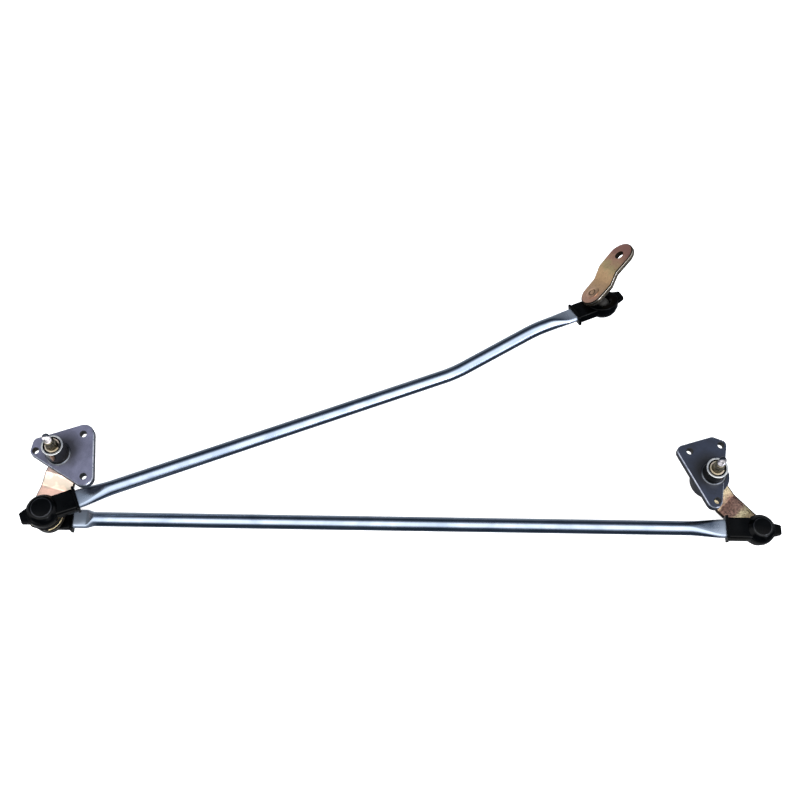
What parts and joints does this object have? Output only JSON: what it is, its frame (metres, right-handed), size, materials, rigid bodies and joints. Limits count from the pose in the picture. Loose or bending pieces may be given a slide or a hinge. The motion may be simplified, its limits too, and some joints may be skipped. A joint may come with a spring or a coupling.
{
  "type": "wiper linkage",
  "caption": "Windscreen wiper linkage: flanged shaft pivots with cranks, joined by a straight tubular rod, and a bent tubular drag link with a crank for the motor.",
  "frame": {"origin": "left pivot's shaft axis, at the upper face of its mounting plate", "axes": "+X along the coupling rod from the left to the right pivot, +Z along the shafts towards the wiper arms"},
  "size_m": [0.8274, 0.3545, 0.1212],
  "materials": {
    "cast_housing": "matt cast",
    "bush_bronze": "satin",
    "seal_rubber": "matt",
    "shaft_steel": "satin",
    "yellow_zinc": "yellow passivated zinc",
    "stud_steel": "satin",
    "socket_plastic": "gloss",
    "tube_zinc": "bright blue zinc"
  },
  "bodies": {
    "left_pivot": {"left_pivot_housing": "cast_housing", "left_upper_bush": "bush_bronze", "left_lower_bush": "bush_bronze", "left_shaft_seal": "seal_rubber"},
    "left_arm": {"left_shaft": "shaft_steel", "left_top_washer": "yellow_zinc", "left_retaining_ring": "yellow_zinc", "left_thrust_washer": "yellow_zinc", "left_crank": "yellow_zinc", "left_double_ball_stud": "stud_steel", "left_upper_dust_seal": "seal_rubber", "left_lower_dust_seal": "seal_rubber"},
    "coupling": {"coupling_rod": "tube_zinc", "coupling_rod_left_socket": "socket_plastic", "coupling_rod_right_socket": "socket_plastic"},
    "right_arm": {"right_shaft": "shaft_steel", "right_top_washer": "yellow_zinc", "right_retaining_ring": "yellow_zinc", "right_thrust_washer": "yellow_zinc", "right_crank": "yellow_zinc", "right_ball_stud": "stud_steel", "right_dust_seal": "seal_rubber"},
    "right_pivot": {"right_pivot_housing": "cast_housing", "right_upper_bush": "bush_bronze", "right_lower_bush": "bush_bronze", "right_shaft_seal": "seal_rubber"},
    "drag": {"drag_link": "tube_zinc", "drag_link_left_socket": "socket_plastic", "drag_link_motor_socket": "socket_plastic"},
    "motor_arm": {"motor_crank": "yellow_zinc", "motor_ball_stud": "stud_steel", "motor_dust_seal": "seal_rubber"}
  },
  "joints": [
    {"name": "left_shaft_turn", "type": "hinge", "parent": "left_pivot", "child": "left_arm", "pos_m": [0, 0, 0], "axis": [0, 0, 1], "range_deg": [-10, 100]},
    {"name": "coupling_rod_swing", "type": "hinge", "parent": "left_arm", "child": "coupling", "pos_m": [-0.01587, -0.05683, -0.05257], "axis": [0, 0, 1], "range_deg": [-100, 10]},
    {"name": "drag_link_swing", "type": "hinge", "parent": "left_arm", "child": "drag", "pos_m": [-0.01587, -0.05683, -0.02407], "axis": [0, 0, 1], "range_deg": [-100, 10]},
    {"name": "right_ball_swing", "type": "hinge", "parent": "coupling", "child": "right_arm", "pos_m": [0.76213, -0.05683, -0.05257], "axis": [0, 0, 1], "range_deg": [-90, 12]},
    {"name": "right_shaft_turn", "type": "hinge", "parent": "right_arm", "child": "right_pivot", "pos_m": [0.70934, -0.00216, -0.026], "axis": [0, 0, 1], "range_deg": [-60, 60]},
    {"name": "motor_crank_turn", "type": "hinge", "parent": "drag", "child": "motor_arm", "pos_m": [0.60251, 0.2143, -0.04899], "axis": [-0.146, 0.3964, 0.9064], "continuous": true}
  ],
  "couplings": [
    {"joint": "coupling_rod_swing", "follows": "left_shaft_turn", "ratio": -1},
    {"joint": "drag_link_swing", "follows": "left_shaft_turn", "ratio": -1}
  ]
}
